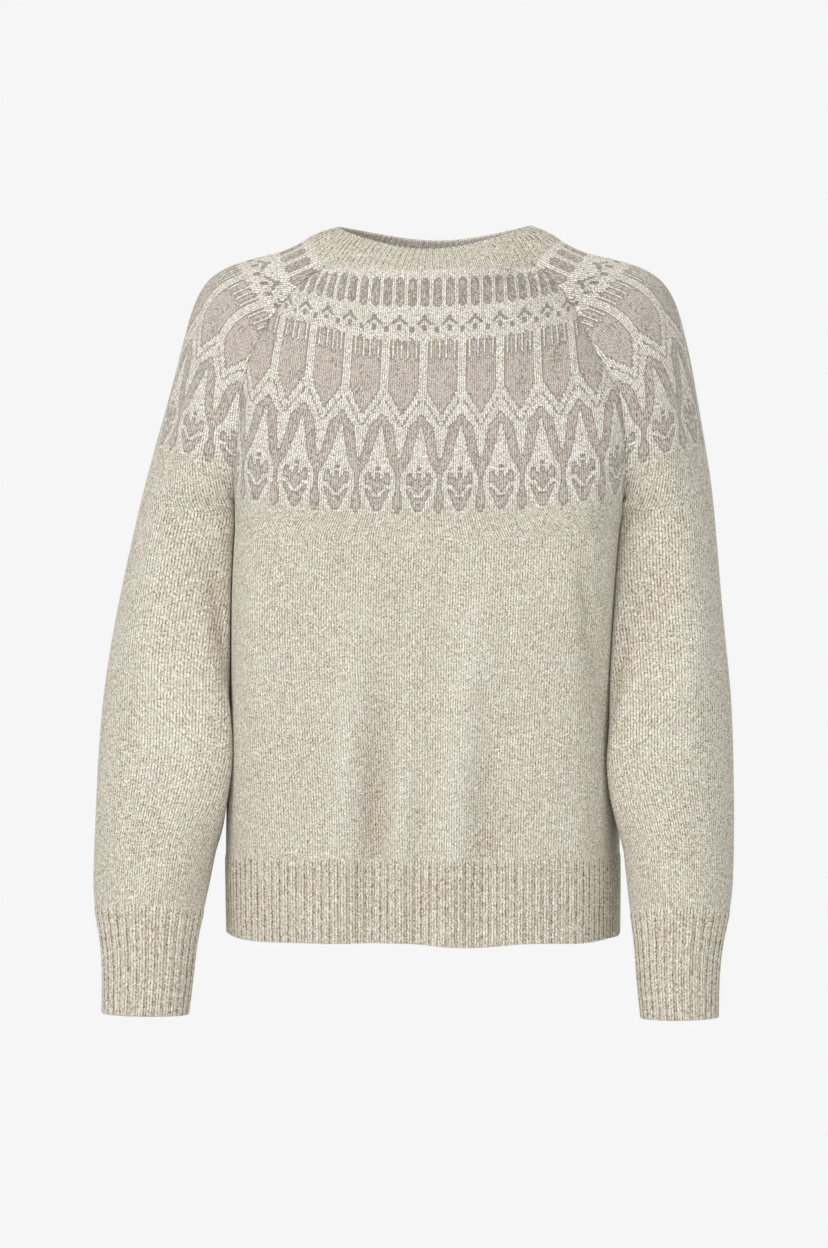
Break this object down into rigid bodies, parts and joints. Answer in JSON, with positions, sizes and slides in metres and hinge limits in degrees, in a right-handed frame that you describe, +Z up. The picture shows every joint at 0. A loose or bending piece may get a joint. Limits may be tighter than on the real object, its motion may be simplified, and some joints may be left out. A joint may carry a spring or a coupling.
{
  "type": "nordic yoke sweater",
  "caption": "Long-sleeved crew-neck raglan pullover in oatmeal wool knit with a patterned yoke and ribbed neck, hem and cuffs, hollow in its worn shape.",
  "frame": {"origin": "on the neck's axis, midway between the two shoulder points of the neck edge, where the wearer holds the garment up", "axes": "+X to the wearer's left, -Y to the front, +Z up"},
  "size_m": [0.5476, 0.2405, 0.6803],
  "materials": {
    "yoke_knit": "matt oatmeal wool in stocking stitch, with the yoke pattern in cream and grey",
    "rib_knit": "matt oatmeal wool in a two by one rib"
  },
  "bodies": {
    "root": {"front": "yoke_knit", "back": "yoke_knit", "sleeve_left": "yoke_knit", "sleeve_right": "yoke_knit", "neckband": "rib_knit", "hem_rib_front": "rib_knit", "hem_rib_back": "rib_knit", "cuff_left": "rib_knit", "cuff_right": "rib_knit"}
  },
  "joints": []
}
